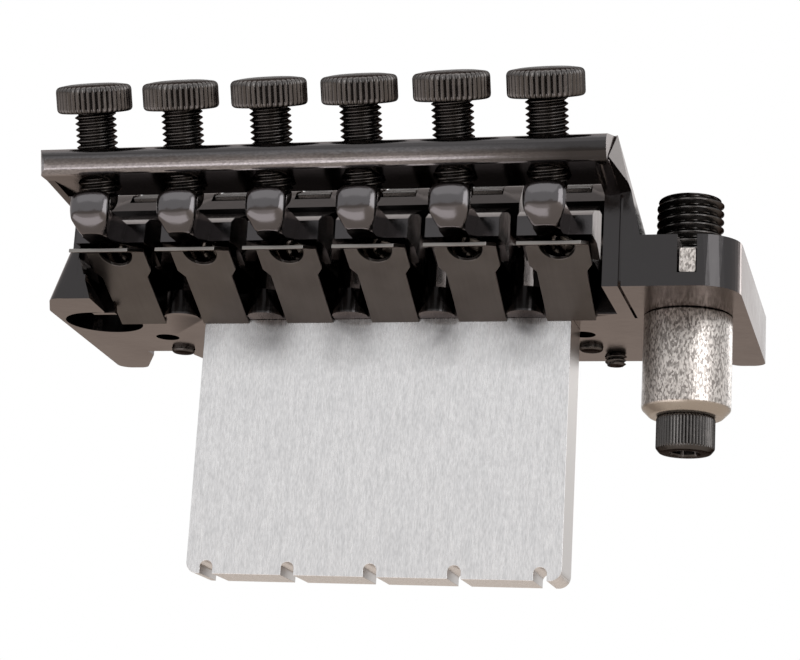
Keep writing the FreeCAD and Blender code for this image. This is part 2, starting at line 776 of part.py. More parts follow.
    # fine tuner: the rounded tip rests on the seat of the finger
    tip = "((seat_z + seat_gap + tuner_tip_radius - tuner_z) / cos(tilt) - tuner_tip_radius)"
    crown = "tuner_lift + tuner_head_height"
    tuner = turned("fine_tuner" + tag, [
        ("0", tip),
        ("tuner_tip_mid", tip + " + tuner_tip_rise"),
        ("tuner_tip_radius", tip + " + tuner_tip_radius"),
        ("tuner_radius", tip + " + tuner_taper_height"),
        ("tuner_radius", "tuner_lift"),
        ("tuner_head_radius", "tuner_lift"),
        ("tuner_head_radius", crown + " - tuner_head_edge"),
        ("tuner_head_radius - tuner_head_edge", crown),
        ("0", crown + " + tuner_crown_rise"),
    ])
    place(tuner, x, "-tuner_y", "tuner_z", plusX, "tilt")
    keep("fine_tuner" + tag, tuner)

# arm socket
bushTop = under + " - joint_line"
bush = turned("bush_body", [
    ("cap_radius + slide_gap", bushTop + " - bush_length"),
    ("bush_radius - bush_edge", bushTop + " - bush_length"),
    ("bush_radius", bushTop + " - bush_length + bush_edge"),
    ("bush_radius", bushTop),
    ("bush_spigot_radius", bushTop),
    ("bush_spigot_radius", lugTop + " - seat_gap"),
    ("collar_radius + joint_line", lugTop + " - seat_gap"),
    ("collar_radius + joint_line", bushTop + " - bush_length + bush_floor"),
    ("cap_radius + slide_gap", bushTop + " - bush_length + bush_floor"),
])
place(bush, "arm_x", "-arm_y")
key = box("bush_key", "slot_width - 2 * seat_gap", "key_rear_y - key_front_y",
          "key_top_z - slot_floor_z - seat_gap", "slot_x - slot_width / 2 + seat_gap", "-key_rear_y",
          "slot_floor_z + seat_gap")
keep("arm_bush", fuse("arm_bush", [bush, key]))
collar = turned("arm_collar", [
    ("collar_bore_radius", bushTop + " - bush_length + bush_floor + joint_line"),
    ("collar_radius", bushTop + " - bush_length + bush_floor + joint_line"),
    ("collar_radius", lugTop + " + collar_rise - collar_edge"),
    ("collar_radius - collar_edge", lugTop + " + collar_rise"),
    ("collar_bore_radius", lugTop + " + collar_rise"),
])
place(collar, "arm_x", "-arm_y")
keep("arm_collar", collar)
capTop = bushTop + " - bush_length - joint_line"
cap = turned("cap_body", [
    ("0", capTop + " - cap_head_height"),
    ("cap_head_radius - cap_head_edge", capTop + " - cap_head_height"),
    ("cap_head_radius", capTop + " - cap_head_height + cap_head_edge"),
    ("cap_head_radius", capTop),
    ("cap_radius", capTop),
    ("cap_radius", capTop + " + cap_length"),
    ("0", capTop + " + cap_length"),
])
place(cap, "arm_x", "-arm_y")
socket = doc.addObject("Part::Prism", "cap_socket")
bind(socket, "Circumradius", "cap_socket_radius")
bind(socket, "Height", "cap_socket_depth + cut_margin")
place(socket, "arm_x", "-arm_y", capTop + " - cap_head_height - cut_margin")
keep("arm_cap_screw", cut("arm_cap_screw", cap, [socket]))

doc.recompute()
for thing in doc.Objects:
    if "Invalid" in thing.State or "Error" in thing.State:
        raise RuntimeError("%s did not build: %s" % (thing.Name, thing.State))
os.makedirs("parts", exist_ok=True)
for name, thing in parts:
    if thing.Shape.isNull() or not thing.Shape.isValid():
        raise RuntimeError("%s has no valid shape" % name)
for name, thing in parts:
    thing.Shape.exportStep("parts/%s.step" % name)
print("pieces", len(parts))
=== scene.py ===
import math

import bmesh
import bpy
import numpy as np
from mathutils import Matrix


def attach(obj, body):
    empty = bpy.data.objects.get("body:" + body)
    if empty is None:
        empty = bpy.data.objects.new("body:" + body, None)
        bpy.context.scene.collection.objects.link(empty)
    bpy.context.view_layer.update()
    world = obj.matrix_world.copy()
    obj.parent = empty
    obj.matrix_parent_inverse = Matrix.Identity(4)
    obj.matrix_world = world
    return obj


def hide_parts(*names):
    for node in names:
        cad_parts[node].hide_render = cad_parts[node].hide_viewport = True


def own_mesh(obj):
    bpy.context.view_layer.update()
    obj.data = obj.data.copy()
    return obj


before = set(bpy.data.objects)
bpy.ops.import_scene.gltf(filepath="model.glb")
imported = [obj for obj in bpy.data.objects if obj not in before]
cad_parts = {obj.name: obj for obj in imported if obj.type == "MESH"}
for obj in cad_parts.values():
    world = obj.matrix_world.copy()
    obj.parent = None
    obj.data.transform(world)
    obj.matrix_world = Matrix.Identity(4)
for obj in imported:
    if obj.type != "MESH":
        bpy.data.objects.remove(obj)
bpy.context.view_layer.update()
print("frame loaded,", len(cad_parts), "nodes")

mm = 0.001
strings = range(1, 7)
stringX = {number: -4.0 + (number - 3.5) * 10.8 for number in strings}
tilt = math.radians(24.0)  # lean of the tuners, the deck and the lock screws
# weld and cadWeld are in metres, the angles in degrees, legShare is the part of a leg that a soft corner may take
meshing = {"weld": 1e-7, "cadWeld": 2e-6, "flat": 0.5, "sharp": 32.0, "turnedSharp": 38.0, "tunerSharp": 80.0,
           "cut": 1e-6, "legShare": 0.45}
thread = {"root": 0.07, "rise": 0.8, "runIn": 8}


def newPiece(name, mesh, body, nodes, finish):
    piece = bpy.data.objects.new(name, mesh)
    bpy.context.scene.collection.objects.link(piece)
    mesh.materials.clear()
    mesh.materials.append(finish)
    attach(piece, body)
    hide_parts(*nodes)
    return piece


def gridMesh(name, sheets, sharp=meshing["turnedSharp"]):
    # each sheet is points[u, v]: u runs along a profile, v goes once round, and quads join the neighbours
    verts, quads, start = [], [], 0
    for points in sheets:
        rows, around = points.shape[:2]
        index = start + np.arange(rows * around).reshape(rows, around)
        low, high = index[:-1], index[1:]
        quads.append(np.stack([low, np.roll(low, -1, 1), np.roll(high, -1, 1), high], -1).reshape(-1, 4))
        verts.append(points.reshape(-1, 3))
        start += rows * around
    mesh = bpy.data.meshes.new(name)
    mesh.from_pydata(np.concatenate(verts).tolist(), [], np.concatenate(quads).tolist())
    return cleanMesh(mesh, sharp)


def cleanMesh(mesh, sharp):
    work = bmesh.new()
    work.from_mesh(mesh)
    bmesh.ops.remove_doubles(work, verts=work.verts, dist=meshing["weld"])
    bmesh.ops.recalc_face_normals(work, faces=work.faces)
    work.to_mesh(mesh)
    work.free()
    shadeSmooth(mesh, sharp)
    return mesh


def shadeSmooth(mesh, sharp):
    mesh.polygons.foreach_set("use_smooth", np.ones(len(mesh.polygons), bool))
    mesh.set_sharp_from_angle(angle=math.radians(sharp))


def softCorners(points, radius, steps=4):
    # each corner of a polyline gives way to a curve that starts and ends radius away from it
    points = np.asarray(points, float)
    out = [points[:1]]
    share = np.linspace(0, 1, steps)[:, None]
    for before, corner, after in zip(points[:-2], points[1:-1], points[2:]):
        inLeg, outLeg = before - corner, after - corner
        most = meshing["legShare"] * min(np.linalg.norm(inLeg), np.linalg.norm(outLeg))
        reach = min(radius, most)
        first = corner + inLeg / np.linalg.norm(inLeg) * reach
        last = corner + outLeg / np.linalg.norm(outLeg) * reach
        out.append((1 - share) ** 2 * first + 2 * share * (1 - share) * corner + share ** 2 * last)
    out.append(points[-1:])
    return np.concatenate(out)


def screwWave(z, angle, pitch, depth, turn=0.0):
    # a ridge that climbs one pitch per turn: a triangle wave with its crest and root rubbed off
    phase = np.mod(z / pitch - angle / (2 * np.pi) + turn, 1.0)
    ridge = np.abs(2 * phase - 1)
    return -depth * (1 - np.clip((ridge - thread["root"]) / thread["rise"], 0, 1))


def hexWall(angle, flat, turn=0.0):
    # distance from the centre to a hexagon's side at each angle
    third = math.pi / 3
    return 0.5 * flat / np.cos(np.mod(angle + turn, third) - third / 2)


def hexHole(flat, mouth, level, lip, depth, point):
    # rows of a socket's profile from its mouth in: level is the face, and depth runs into the screw from there
    return np.array([(flat * mouth, level), (flat * 0.5, level + lip), (flat * 0.5, level + depth),
                     (0.0, level + depth + point)])


def hexedRows(profile):
    # the two rows of the hole's wall, which follow the hexagon
    rows = np.zeros((len(profile), 1))
    rows[-3:-1] = 1.0
    return rows


def around(profile, segments, shape=None):
    # profile rows of radius and height, carried round the axis: x = r cos a, y = r sin a
    angle = np.linspace(0, 2 * np.pi, segments, endpoint=False)[None, :]
    radius = profile[:, 0:1] + 0 * angle
    height = profile[:, 1:2] + 0 * angle
    if shape is not None:
        radius = shape(radius, height, angle)
    return np.stack([radius * np.cos(angle), radius * np.sin(angle), height], -1)


def leaned(points, spot, turn):
    # turn about X, then move to spot, from millimetres to metres
    c, s = math.cos(turn), math.sin(turn)
    spin = np.array([[1, 0, 0], [0, c, -s], [0, s, c]])
    return (points @ spin.T + np.array(spot)) * mm


def cadCopy(name, node, body, slot, finish, width=0.0, steps=2, sharp=meshing["sharp"]):
    # the solid's own shape, merged, with its edges broken
    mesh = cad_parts[node].data.copy()
    mesh.name = name
    work = bmesh.new()
    work.from_mesh(mesh)
    bmesh.ops.remove_doubles(work, verts=work.verts, dist=meshing["cadWeld"])
    bmesh.ops.dissolve_limit(work, angle_limit=math.radians(meshing["flat"]), verts=work.verts, edges=work.edges)
    work.to_mesh(mesh)
    work.free()
    shadeSmooth(mesh, sharp)
    piece = newPiece(name, mesh, body, [node], finish)
    if width:
        bevel = piece.modifiers.new("edges", "BEVEL")
        bevel.width = width * mm
        bevel.segments = steps
        bevel.limit_method = "ANGLE"
        bevel.angle_limit = math.radians(sharp)
        bevel.harden_normals = True
        bevel.use_clamp_overlap = True
    return piece


class Wire:
    # a socket that takes part in sums
    def __init__(self, tree, socket):
        self.tree = tree
        self.socket = socket

    def join(self, operation, other, flip=False):
        node = self.tree.nodes.new("ShaderNodeMath")
        node.operation = operation
        pair = (other, self) if flip else (self, other)
        for slot, value in zip(node.inputs, pair):
            if isinstance(value, Wire):
                self.tree.links.new(value.socket, slot)
            else:
                slot.default_value = value
        return Wire(self.tree, node.outputs[0])

    def __add__(self, other): return self.join("ADD", other)
    def __radd__(self, other): return self.join("ADD", other, True)
    def __sub__(self, other): return self.join("SUBTRACT", other)
    def __rsub__(self, other): return self.join("SUBTRACT", other, True)
    def __mul__(self, other): return self.join("MULTIPLY", other)
    def __rmul__(self, other): return self.join("MULTIPLY", other, True)


class Finish:
    # a material, its nodes and its surface shader
    def __init__(self, name, **values):
        self.material = bpy.data.materials.new(name)
        self.material.use_nodes = True
        self.tree = self.material.node_tree
        self.shader = self.tree.nodes["Principled BSDF"]
        self.place = self.add("ShaderNodeTexCoord", out="Object")
        for key, value in values.items():
            self.shader.inputs[key.replace("_", " ")].default_value = value

    def add(self, kind, settings=None, values=None, out=0):
        node = self.tree.nodes.new(kind)
        for key, value in (settings or {}).items():
            if key == "stops":
                ramp = node.color_ramp.elements
                while len(ramp) < len(value):
                    ramp.new(0.5)
                for element, (spot, colour) in zip(ramp, value):
                    element.position = spot
                    element.color = colour
            else:
                setattr(node, key, value)
        for key, value in (values or {}).items():
            if isinstance(value, Wire):
                self.tree.links.new(value.socket, node.inputs[key])
            else:
                node.inputs[key].default_value = value
        return Wire(self.tree, node.outputs[out])

    def feed(self, key, wire):
        self.tree.links.new(wire.socket, self.shader.inputs[key])

    def stretched(self, x, y, z):
        return self.add("ShaderNodeMapping", None, {"Vector": self.place, "Scale": (x, y, z)})

    def noise(self, where, scale, detail=3.0, rough=0.5):
        return self.add("ShaderNodeTexNoise", None,
                        {"Vector": where, "Scale": scale, "Detail": detail, "Roughness": rough})

    def span(self, wire, low, high, newLow, newHigh):
        return self.add("ShaderNodeMapRange", None, {"Value": wire, "From Min": low, "From Max": high,
                                                     "To Min": newLow, "To Max": newHigh})

    def along(self, axis):
        return self.add("ShaderNodeSeparateXYZ", None, {"Vector": self.place}, out=axis)

    def within(self, spans):
        # 0 to 1 along each span, which names an axis and two places on it in millimetres, all multiplied
        share = 1.0
        for axis, start, end in spans:
            share = self.span(self.along(axis), start * mm, end * mm, 0.0, 1.0) * share
        return share

    def blend(self, share, one, two):
        return self.add("ShaderNodeMix", {"data_type": "RGBA"}, {0: share, 6: one, 7: two}, out=2)

    def bump(self, height, strength, distance):
        return self.add("ShaderNodeBump", None, {"Height": height, "Strength": strength, "Distance": distance})


# the lever tone is the base lightened, a painted sheen for the string levers
glossLook = {"base": (0.047, 0.0445, 0.0452, 1), "lever": (0.1, 0.095, 0.098, 1), "dust": (0.075, 0.07, 0.068, 1),
             # the dull tone is painted shade for the inside of the casting and the lever bodies
             "rough": (0.11, 0.24), "graze": (0.95, 0.89, 0.87, 1), "innerShade": (0.012, 0.011, 0.011, 1),
             # the rub tone is a worn edge lightened as a painted highlight
             "rub": (0.3, 0.288, 0.297, 1), "smearGrain": 130, "rippleGrain": 520.0, "fineGrain": 4200.0,
             "dustGrain": 2600.0, "dustSpan": (0.66, 0.78, 0.0, 0.6), "dustRough": 0.3, "roughSpan": (0.3, 0.8),
             "scuffGrain": (2600, 5200, 5200), "scuffSpan": (0.35, 0.7, 0.55, 1.0), "ripple": 0.7, "fine": 0.12,
             "bump": (0.3, 0.0001), "leverShade": [(1, -32.5, -29.5)],
             "edgeRubAndSheen": [(0, 26.0, 6.0), (1, -39.1, -39.8), (2, 10.9, 9.9)],
             "plateShade": [(0, 29.0, 28.5), (0, -36.2, -35.8), (1, -27.0, -26.0), (2, -2.9, -2.7), (2, 8.0, 7.5)]}


def makeGlossBlack(name, base, shadeSpans, rubAndSheen=()):
    # black plated casting: deep gloss, brownish at a glance, with a soft ripple, thin smears and a little dust;
    # the first list of spans marks where painted shade turns the gloss to a dull black inside, the second the edge that
    # is scuffed as worn and lightened as a painted highlight
    look = glossLook
    f = Finish(name, Metallic=1.0, Specular_Tint=look["graze"])
    smear = f.noise(f.stretched(*[look["smearGrain"]] * 3), 1.0, 4.0, 0.6)
    ripple = f.noise(f.place, look["rippleGrain"], 2.0)
    grain = f.noise(f.place, look["fineGrain"], 2.0)
    dust = f.span(f.noise(f.place, look["dustGrain"], 2.0), *look["dustSpan"])
    tone = f.blend(dust * smear, look[base], look["dust"])
    # painted shade: near-black inside the given spans, where shade falls within the casting and over the lever bodies
    tone = f.blend(f.within(shadeSpans), tone, look["innerShade"])
    # partly wear, partly painted highlight: the deck's lower rear edge is scuffed and lightened, fading out towards the
    # arm's side
    if rubAndSheen:
        scuff = f.span(f.noise(f.stretched(*look["scuffGrain"]), 1.0, 3.0, 0.6), *look["scuffSpan"])
        tone = f.blend(f.within(rubAndSheen) * scuff, tone, look["rub"])
    f.feed("Base Color", tone)
    f.feed("Roughness", f.span(smear + dust * look["dustRough"], *look["roughSpan"], *look["rough"]))
    f.feed("Normal", f.bump(ripple * look["ripple"] + grain * look["fine"], *look["bump"]))
    return f.material


satinLook = {"base": (0.08, 0.075, 0.073, 1), "worn": (0.135, 0.127, 0.122, 1), "rough": (0.2, 0.34),
             "graze": (0.25, 0.23, 0.22, 1), "paleBase": (0.07, 0.066, 0.064, 1), "paleWorn": (0.14, 0.13, 0.125, 1),
             # the next two tones are the satin black lightened, a painted highlight for the lock screws
             "litLockBase": (0.13, 0.12, 0.11, 1), "litLockWorn": (0.3, 0.28, 0.26, 1), "rubGrain": 700.0,
             "fineGrain": 7000.0, "rubSpan": (0.52, 0.75, 0.0, 0.7), "roughSpan": (0.3, 0.7), "rubHeight": 0.6,
             "bump": (0.22, 0.00003)}


def makeSatinBlack(name, base, worn):
    # black oxide on turned screws: finer, duller, rubbed here and there
    look = satinLook
    f = Finish(name, Metallic=1.0, Specular_Tint=look["graze"])
    rub = f.noise(f.place, look["rubGrain"], 4.0, 0.65)
    grain = f.noise(f.place, look["fineGrain"], 1.0)
    f.feed("Base Color", f.blend(f.span(rub, *look["rubSpan"]), look[base], look[worn]))
    f.feed("Roughness", f.span(rub, *look["roughSpan"], *look["rough"]))
    f.feed("Normal", f.bump(grain + rub * look["rubHeight"], *look["bump"]))
    return f.material


leafLook = {"base": (0.104, 0.097, 0.093, 1), "dark": (0.087, 0.08, 0.077, 1), "rough": (0.28, 0.36),
            "graze": (0.9, 0.84, 0.8, 1), "cut": (0.2, 0.19, 0.18, 1), "cutRough": 0.3,
            "hole": (0.02, 0.019, 0.018, 1), "holeRough": 0.5, "lineGrain": (2600, 140, 140), "cloudGrain": 240.0,
            "line": 0.25, "cloud": 0.75, "toneSpan": (0.35, 0.65, 0.0, 1.0), "roughSpan": (0.3, 0.7),
            "bump": (0.05, 0.00002)}


def makeLeafSteel():
    # blackened spring steel, smooth satin with faint rolling lines along the strip
    look = leafLook
    f = Finish("leafSteel", Metallic=1.0, Specular_Tint=look["graze"])
    lines = f.noise(f.stretched(*look["lineGrain"]), 1.0, 3.0)
    cloud = f.noise(f.place, look["cloudGrain"], 3.0)
    tone = f.span(lines * look["line"] + cloud * look["cloud"], *look["toneSpan"])
    f.feed("Base Color", f.blend(tone, look["dark"], look["base"]))
    f.feed("Roughness", f.span(cloud, *look["roughSpan"], *look["rough"]))
    f.feed("Normal", f.bump(lines, *look["bump"]))
    return f.material


# the darkest tone and the band from shadeFrom to shadeTo are painted shade near the block's top
blockLook = {"base": (0.73, 0.725, 0.73, 1), "streak": (0.54, 0.535, 0.54, 1), "paintedShade": (0.15, 0.145, 0.147, 1),
             "rough": (0.2, 0.3), "shadeFrom": -0.0098, "shadeTo": -0.0042, "middle": -0.004, "step": 0.0108,
             # the end tone is painted shade and floor reflection for the block's ends
             "end": (0.4, 0.37, 0.352, 1), "endRough": 0.3, "shadedEndFrom": 0.9, "fineGrain": (6500, 6500, 1500),
             "streakGrain": (2500, 2500, 420), "cloudGrain": 260.0, "paintedShadeLevel": 0.52, "paintedShadeSwing": 0.3,
             "cloudSpan": (0.3, 0.7, 0.5, 1.3), "fineTone": 0.6, "streakTone": 0.4, "toneSpan": (0.33, 0.67, 0.0, 1.0),
             "roughSpan": (0.3, 0.7), "streakHeight": 0.4, "bump": (0.16, 0.00004)}


def makeBrushedBlock():
    # ground block: fine upright grain and faint streaks, with painted shade near the top, darkest under each gap
    # between two springs, standing in for the shade and dark reflections of the black parts above: a cosine across the
    # block, fading downwards
    look = blockLook
    f = Finish("brushedBlock", Metallic=1.0)
    fine = f.noise(f.stretched(*look["fineGrain"]), 1.0, 2.0)
    streak = f.noise(f.stretched(*look["streakGrain"]), 1.0, 3.0, 0.55)
    cloud = f.noise(f.place, look["cloudGrain"], 4.0, 0.55)
    across = f.along(0)
    height = f.along(2)
    wave = ((across - look["middle"]) * (2 * math.pi / look["step"])).join("COSINE", 0.0)
    upper = f.span(height, look["shadeFrom"], look["shadeTo"], 0.0, 1.0)
    # painted shade: darker towards the top of the block, most under the gaps between springs
    paintedShade = upper * (look["paintedShadeLevel"] + look["paintedShadeSwing"] * wave) * f.span(cloud, *look["cloudSpan"])
    grain = f.span(fine * look["fineTone"] + streak * look["streakTone"], *look["toneSpan"])
    f.feed("Base Color", f.blend(paintedShade, f.blend(grain, look["streak"], look["base"]), look["paintedShade"]))
    f.feed("Roughness", f.span(streak, *look["roughSpan"], *look["rough"]))
    f.feed("Normal", f.bump(fine + streak * look["streakHeight"], *look["bump"]))
    return f.material


nickelLook = {"base": (0.60, 0.56, 0.53, 1), "dark": (0.22, 0.2, 0.187, 1), "rough": (0.26, 0.42),
              "plain": (0.36, 0.325, 0.285, 1), "plainBelow": -0.01412, "grainAbove": -0.01395,
              "cellGrain": (6200, 6200, 3000), "fineGrain": (4600, 4600, 1500), "facet": 0.4, "fine": 0.6,
              "toneSpan": (0.36, 0.62, 0.0, 1.0), "roughSpan": (0.3, 0.7), "facetHeight": 0.7, "bump": (0.4, 0.00007)}


def makeNickelGrain():
    # nickel over a coarse drawn bush: a crystalline sparkle with its grains set upright, turned smooth at the bottom
    look = nickelLook
    f = Finish("nickelGrain", Metallic=1.0)
    coarse = f.span(f.along(2), look["plainBelow"], look["grainAbove"], 0.0, 1.0)
    upright = f.stretched(*look["cellGrain"])
    cells = f.add("ShaderNodeTexVoronoi", {"feature": "F1"}, {"Vector": upright, "Scale": 1.0}, out="Color")
    facets = f.add("ShaderNodeSeparateColor", None, {"Color": cells}, out=0)
    grain = f.noise(f.stretched(*look["fineGrain"]), 1.0, 3.0, 0.6)
    tone = f.span(facets * look["facet"] + grain * look["fine"], *look["toneSpan"])
    f.feed("Base Color", f.blend(coarse, look["plain"], f.blend(tone, look["dark"], look["base"])))
    f.feed("Roughness", f.span(grain, *look["roughSpan"], *look["rough"]))
    f.feed("Normal", f.bump((facets * look["facetHeight"] + grain) * coarse, *look["bump"]))
    return f.material


def makePlain(name, base, rough):
    f = Finish(name, Metallic=1.0, Roughness=rough)
    f.shader.inputs["Base Color"].default_value = base
    return f.material


glossBlack = makeGlossBlack("glossBlack", "base", glossLook["plateShade"], glossLook["edgeRubAndSheen"])
# painted sheen and painted shade: the gloss black lightened for the string levers so their noses catch more light, with
# painted shade over the bodies behind the noses
litShadedLeverBlack = makeGlossBlack("litShadedLeverBlack", "lever", glossLook["leverShade"])
satinBlack = makeSatinBlack("satinBlack", "base", "worn")
paleBlack = makeSatinBlack("paleBlack", "paleBase", "paleWorn")
# painted highlight: a lighter copy of the satin black for the lock screws, so their faces show bright through the
# springs' openings
litLockBlack = makeSatinBlack("litLockBlack", "litLockBase", "litLockWorn")
leafSteel = makeLeafSteel()
# painted highlight for the springs' rear ends and painted shade for the walls of their openings
leafEndHighlight = makePlain("leafEndHighlight", leafLook["cut"], leafLook["cutRough"])
leafHoleShade = makePlain("leafHoleShade", leafLook["hole"], leafLook["holeRough"])
brushedBlock = makeBrushedBlock()
# painted shade and painted floor reflection for the block's ends
shadedBlockEnd = makePlain("shadedBlockEnd", blockLook["end"], blockLook["endRough"])
nickelGrain = makeNickelGrain()
print("finishes made")


dressing = {"plate": (0.28, 3), "block": (0.12, 2), "seat": (0.2, 2), "pin": (0.15, 2), "lever": (0.34, 3),
            "clamp": (0.25, 2), "leaf": (0.07, 2), "leafKeep": 0.62}
nose = {"rootY": -31.19, "half": 2.01, "topZ": 5.6, "chinZ": 2.4, "slim": 0.24, "cell": 0.26, "roundFrom": -35.6,
        "low": 2.2, "high": 6.8, "end": -39.1, "passes": 80, "fullFrom": -37.6, "midZ": 4.4, "wide": 1.42,
        "tall": 1.45, "seatEnd": -37.5, "floor": 2.42, "margin": 0.01, "frontTurn": 0.25, "seatTurn": 0.3,
        "evening": 0.5}
leafMarks = {"cutY": -34.5, "holeHalf": 2.45, "holeRear": -31.0, "holeFront": -20.0, "slope": (0.0, -0.467, -0.884),
             "wallTurn": 0.4}
wedges = [[(-37.6, -28.49, -3.02), (-34.1, -28.49, -3.02), (-35.9, -28.49, 2.1),
           (-37.6, -22.0, -3.02), (-34.7, -22.0, -3.02), (-36.1, -22.0, 2.1)],
          [(-36.6, -21.4, -2.95), (-36.6, -20.6, -2.95), (-36.6, -22.6, 2.9),
           (-33.6, -21.4, -2.95), (-33.6, -20.6, -2.95), (-33.6, -22.6, 2.9)]]
flank = {"from": -33.0, "above": 8.6, "tip": 30.28, "rear": -39.4, "cutAbove": 7.5, "cutBeyond": 29.5}


def slimNose(mesh, middle):
    # the finger's sides draw in towards its chin: x shrinks in step with the drop below topZ
    spots = np.empty(len(mesh.vertices) * 3)
    mesh.vertices.foreach_get("co", spots)
    spots = spots.reshape(-1, 3) / mm
    across = spots[:, 0] - middle
    finger = (spots[:, 1] < nose["rootY"]) & (np.abs(across) < nose["half"])
    drop = np.clip((nose["topZ"] - spots[:, 2]) / (nose["topZ"] - nose["chinZ"]), 0, 1)
    spots[:, 0] -= finger * across * nose["slim"] * drop
    mesh.vertices.foreach_set("co", (spots * mm).ravel())


def cutFaces(work, faces, place, normal):
    # plain dictionaries keep the order of the parts, which sets would not
    edges = dict.fromkeys(side for face in faces for side in face.edges)
    verts = dict.fromkeys(vert for face in faces for vert in face.verts)
    bmesh.ops.bisect_plane(work, geom=list(verts) + list(edges) + faces, dist=meshing["cut"], plane_co=place,
                           plane_no=normal)


def roundNose(mesh, middle):
    # the finger's end is cut into small cells by planes across all three axes, swollen, then evened out cell by cell
    n = nose
    work = bmesh.new()
    work.from_mesh(mesh)
    cuts = [(1, n["roundFrom"])]
    cuts += [(1, spot) for spot in np.arange(n["roundFrom"], n["end"], -n["cell"])[1:]]
    cuts += [(2, spot) for spot in np.arange(n["low"], n["high"], n["cell"])]
    cuts += [(0, middle + spot) for spot in np.arange(-n["half"], n["half"], n["cell"])]
    edge = (n["roundFrom"] + n["margin"]) * mm
    for step, (axis, spot) in enumerate(cuts):
        inside = any if step == 0 else all
        faces = [face for face in work.faces if inside(vert.co.y < edge for vert in face.verts)]
        normal = [0.0, 0.0, 0.0]
        normal[axis] = 1.0
        cutFaces(work, faces, [part * spot * mm for part in normal], normal)
    work.normal_update()
    # the front of the hump and the seat stay, because the tuner's tip passes close by them
    behind = [vert for vert in work.verts if vert.co.y < (n["roundFrom"] - n["cell"]) * mm]
    loose = [vert for vert in behind if vert.normal.y < n["frontTurn"]
             and not (vert.co.y > n["seatEnd"] * mm and vert.normal.z > n["seatTurn"])]
    for vert in loose:
        share = min(1.0, (n["roundFrom"] - vert.co.y / mm) / (n["roundFrom"] - n["fullFrom"]))
        vert.co.x = middle * mm + (vert.co.x - middle * mm) * (1 + share * (n["wide"] - 1))
        vert.co.z = n["midZ"] * mm + (vert.co.z - n["midZ"] * mm) * (1 + share * (n["tall"] - 1))
    for turn in range(n["passes"]):
        bmesh.ops.smooth_vert(work, verts=loose, factor=n["evening"], use_axis_x=True, use_axis_y=True,
                              use_axis_z=True)
    for vert in loose:
        vert.co.z = max(vert.co.z, n["floor"] * mm)
    work.to_mesh(mesh)
    work.free()
    shadeSmooth(mesh, meshing["sharp"])


def markLeaf(mesh, middle):
    # the rear end is coloured bright, a painted highlight, and the wall of the round opening near-black, painted shade
    mesh.materials.append(leafEndHighlight)
    mesh.materials.append(leafHoleShade)
    for face in mesh.polygons:
        x, y, z = face.center / mm
        level = abs(sum(a * b for a, b in zip(face.normal, leafMarks["slope"])))
        if y < leafMarks["cutY"]:
            face.material_index = 1
        elif abs(x - middle) < leafMarks["holeHalf"] and leafMarks["holeRear"] < y < leafMarks["holeFront"]:
            face.material_index = 2 if level < leafMarks["wallTurn"] else 0


def shadeBlockEnds(mesh):
    # the block's ends, which face along X, are coloured darker and browner: painted shade and painted floor reflection
    mesh.materials.append(shadedBlockEnd)
    for face in mesh.polygons:
        if abs(face.normal[0]) > blockLook["shadedEndFrom"]:
            face.material_index = 1


def addWedges(mesh):
    # fillings beside the left lug's hole and the first spring's pocket: prisms with a triangle at each end
    work = bmesh.new()
    work.from_mesh(mesh)
    sides = [(0, 1, 2), (3, 5, 4), (0, 3, 4, 1), (1, 4, 5, 2), (0, 2, 5, 3)]
    for corners in wedges:
        verts = [work.verts.new([part * mm for part in corner]) for corner in corners]
        faces = [work.faces.new([verts[i] for i in side]) for side in sides]
        bmesh.ops.recalc_face_normals(work, faces=faces)
    work.to_mesh(mesh)
    work.free()


def easeFlank(mesh):
    # the right cheek's outer face turns in towards the end of the deck, in step with the way to the rear
    k = flank
    work = bmesh.new()
    work.from_mesh(mesh)
    low, side = k["cutAbove"] * mm, k["cutBeyond"] * mm
    faces = [face for face in work.faces if all(vert.co.z > low and vert.co.x > side for vert in face.verts)]
    cutFaces(work, faces, (0, k["from"] * mm, 0), (0, 1, 0))
    for vert in work.verts:
        x, y, z = vert.co / mm
        if x > k["tip"] and y < k["from"] and z > k["above"]:
            share = (k["from"] - y) / (k["from"] - k["rear"])
            vert.co.x = (x + (k["tip"] - x) * share) * mm
    work.to_mesh(mesh)
    work.free()


# the casting, the block and the saddles keep the shapes of their solids
plate = cadCopy("castPlate", "base_plate", "bridge", "black_plate", glossBlack, *dressing["plate"])
addWedges(plate.data)
easeFlank(plate.data)
block = cadCopy("groundBlock", "sustain_block", "bridge", "block", brushedBlock, *dressing["block"])
shadeBlockEnds(block.data)
for number in strings:
    cadCopy("saddleSeat.%d" % number, "saddle_base_%d" % number, "bridge", "black_plate", glossBlack,
            *dressing["seat"])
    cadCopy("saddlePin.%d" % number, "pivot_pin_%d" % number, "bridge", "black_screw", satinBlack,
            *dressing["pin"])
    lever = cadCopy("stringLever.%d" % number, "string_holder_%d" % number, "holder_%d" % number, "black_plate",
                    litShadedLeverBlack, *dressing["lever"])
    slimNose(lever.data, stringX[number])
    roundNose(lever.data, stringX[number])
    cadCopy("stringClamp.%d" % number, "clamp_block_%d" % number, "clamp_%d" % number, "black_screw",
            satinBlack, *dressing["clamp"])
    leaf = cadCopy("leaf.%d" % number, "leaf_spring_%d" % number, "bridge", "leaf", leafSteel, *dressing["leaf"])
    markLeaf(leaf.data, stringX[number])
    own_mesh(leaf)
print("solids dressed")


